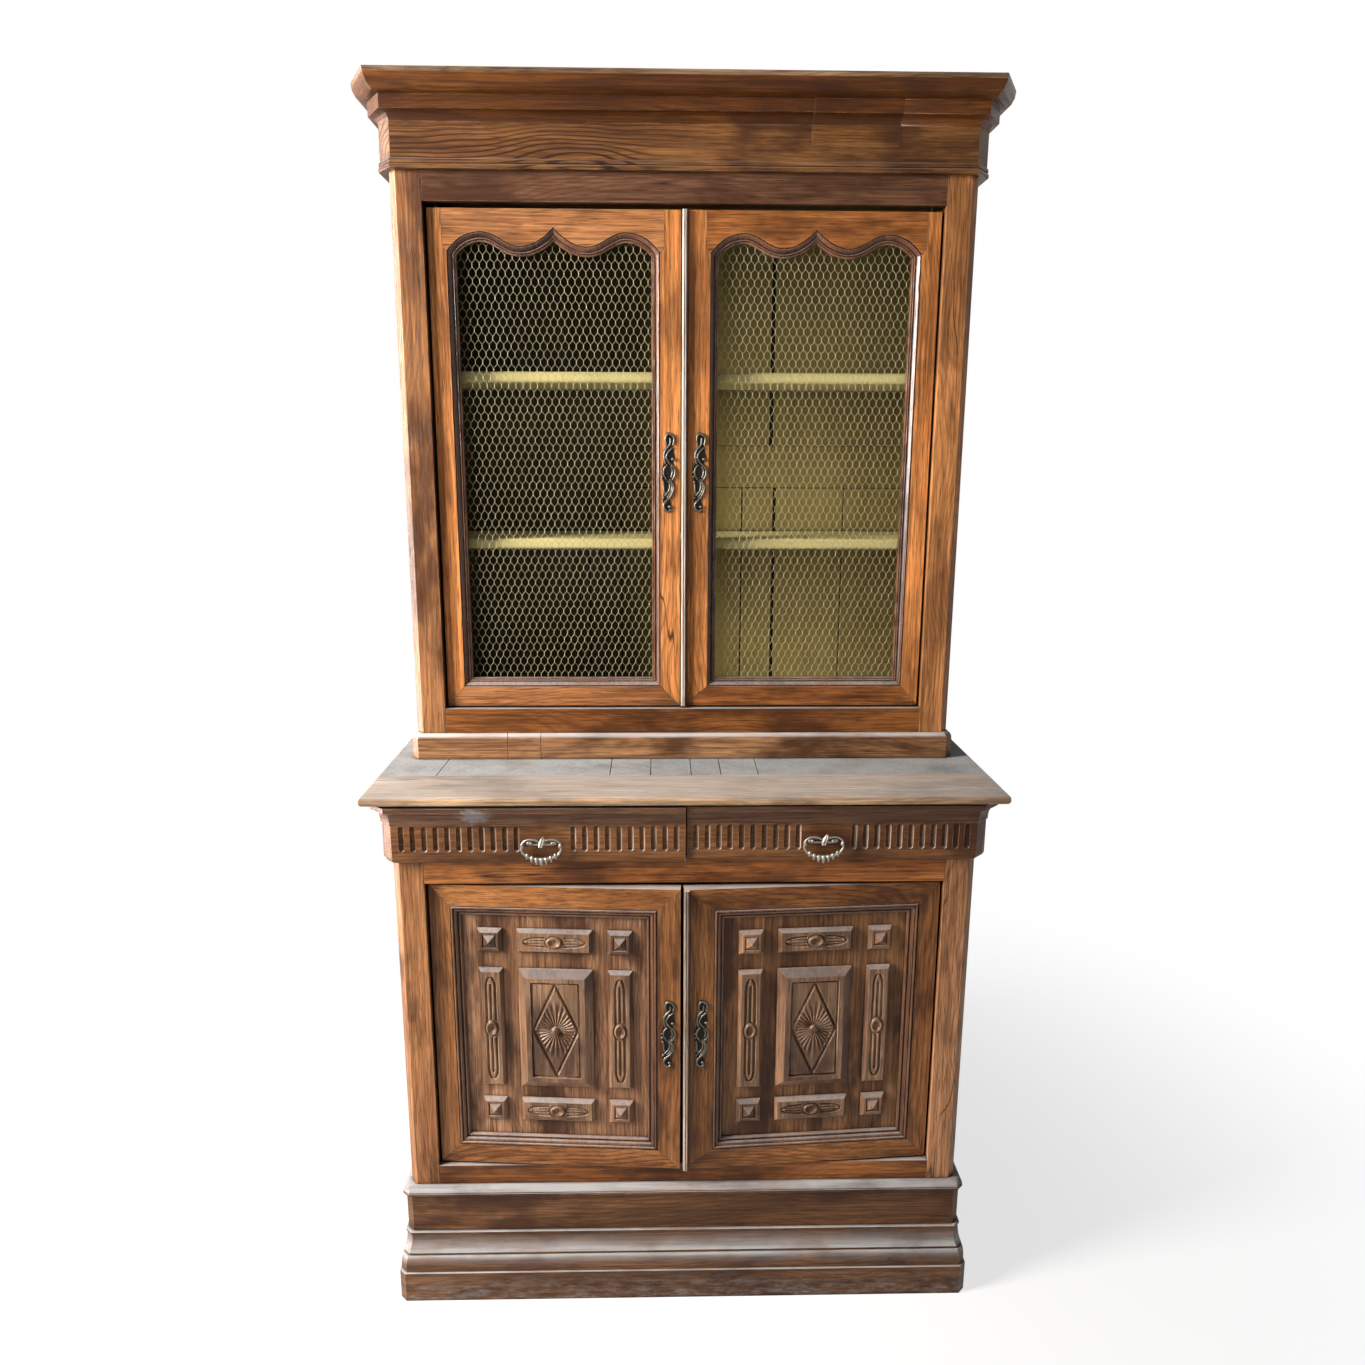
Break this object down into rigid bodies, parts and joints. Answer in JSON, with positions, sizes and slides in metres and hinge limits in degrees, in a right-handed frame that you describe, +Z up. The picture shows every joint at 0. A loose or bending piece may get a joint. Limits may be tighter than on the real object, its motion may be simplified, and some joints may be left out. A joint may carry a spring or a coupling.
{
  "type": "step-back cupboard",
  "caption": "Step-back cupboard with canted corners: wire-netted doors over shelves above, fluted frieze drawers and carved panel doors below.",
  "frame": {"origin": "on the floor, under the middle of the object's box", "axes": "+Z up, -Y is the front, +X to the right as seen from the front"},
  "size_m": [1.2274, 0.544, 2.3645],
  "materials": {
    "oak": "waxed dark oak, worn and dusty",
    "olive_paint": "old matt olive-yellow paint",
    "dark_bronze": "dark bronzed, worn bright on the edges",
    "pewter": "dull silvered",
    "steel": "old iron",
    "wire": "weathered galvanised"
  },
  "bodies": {
    "case": {"base_plinth": "oak", "base_frieze": "oak", "lower_left_post": "oak", "lower_right_post": "oak", "lower_left_side": "oak", "lower_right_side": "oak", "lower_back": "oak", "lower_floor": "oak", "lower_bottom_rail": "oak", "drawer_rail": "oak", "dust_board": "oak", "table_top": "oak", "waist_moulding": "oak", "upper_left_post": "oak", "upper_right_post": "oak", "upper_left_side": "oak", "upper_right_side": "oak", "upper_back": "olive_paint", "upper_floor": "olive_paint", "upper_bottom_rail": "oak", "upper_top_rail": "oak", "upper_ceiling": "olive_paint", "cornice_frieze": "oak", "cornice_crown": "oak", "upper_shelf_high": "olive_paint", "upper_shelf_low": "olive_paint", "lower_left_foot_pivot": "steel", "lower_left_head_pivot": "steel", "lower_right_foot_pivot": "steel", "lower_right_head_pivot": "steel", "upper_left_foot_pivot": "steel", "upper_left_head_pivot": "steel", "upper_right_foot_pivot": "steel", "upper_right_head_pivot": "steel"},
    "left_drawer": {"left_drawer_front": "oak", "left_drawer_box": "oak", "left_pull_hook": "pewter"},
    "left_bail": {"left_pull_bail": "pewter"},
    "right_drawer": {"right_drawer_front": "oak", "right_drawer_box": "oak", "right_pull_hook": "pewter"},
    "right_bail": {"right_pull_bail": "pewter"},
    "upper_left_door": {"upper_left_door_frame": "oak", "upper_left_door_net": "wire", "upper_left_key_plate": "dark_bronze"},
    "upper_right_door": {"upper_right_door_frame": "oak", "upper_right_door_net": "wire", "upper_right_key_plate": "dark_bronze", "upper_astragal": "oak", "upper_lock_case": "steel"},
    "upper_bolt": {"upper_lock_bolt": "steel"},
    "lower_left_door": {"lower_left_door_frame": "oak", "lower_left_door_panel": "oak", "lower_left_key_plate": "dark_bronze"},
    "lower_right_door": {"lower_right_door_frame": "oak", "lower_right_door_panel": "oak", "lower_right_key_plate": "dark_bronze", "lower_astragal": "oak", "lower_lock_case": "steel"},
    "lower_bolt": {"lower_lock_bolt": "steel"}
  },
  "joints": [
    {"name": "upper_left_door_hinge", "type": "hinge", "parent": "case", "child": "upper_left_door", "pos_m": [-0.4658, 0.00695, 1.6], "axis": [0, 0, -1], "range_deg": [0, 105]},
    {"name": "upper_right_door_hinge", "type": "hinge", "parent": "case", "child": "upper_right_door", "pos_m": [0.4658, 0.00695, 1.6], "axis": [0, 0, 1], "range_deg": [0, 105]},
    {"name": "lower_left_door_hinge", "type": "hinge", "parent": "case", "child": "lower_left_door", "pos_m": [-0.4759, -0.20805, 0.6], "axis": [0, 0, -1], "range_deg": [-3.9, 101]},
    {"name": "lower_right_door_hinge", "type": "hinge", "parent": "case", "child": "lower_right_door", "pos_m": [0.4759, -0.20805, 0.6], "axis": [0, 0, 1], "range_deg": [-3.9, 101]},
    {"name": "left_drawer_slide", "type": "slide", "parent": "case", "child": "left_drawer", "axis": [0, -1, 0], "range_m": [-0.006, 0.3]},
    {"name": "right_drawer_slide", "type": "slide", "parent": "case", "child": "right_drawer", "axis": [0, -1, 0], "range_m": [0, 0.306]},
    {"name": "left_bail_swing", "type": "hinge", "parent": "left_drawer", "child": "left_bail", "pos_m": [-0.2697, -0.26105, 0.9968], "axis": [-1, 0, 0], "range_deg": [-8, 45]},
    {"name": "right_bail_swing", "type": "hinge", "parent": "right_drawer", "child": "right_bail", "pos_m": [0.2577, -0.25505, 0.9968], "axis": [-1, 0, 0], "range_deg": [-8, 45]},
    {"name": "upper_bolt_slide", "type": "slide", "parent": "upper_right_door", "child": "upper_bolt", "axis": [-1, 0, 0], "range_m": [0, 0.008]},
    {"name": "lower_bolt_slide", "type": "slide", "parent": "lower_right_door", "child": "lower_bolt", "axis": [-0.9977, -0.068, 0], "range_m": [0, 0.008]}
  ]
}
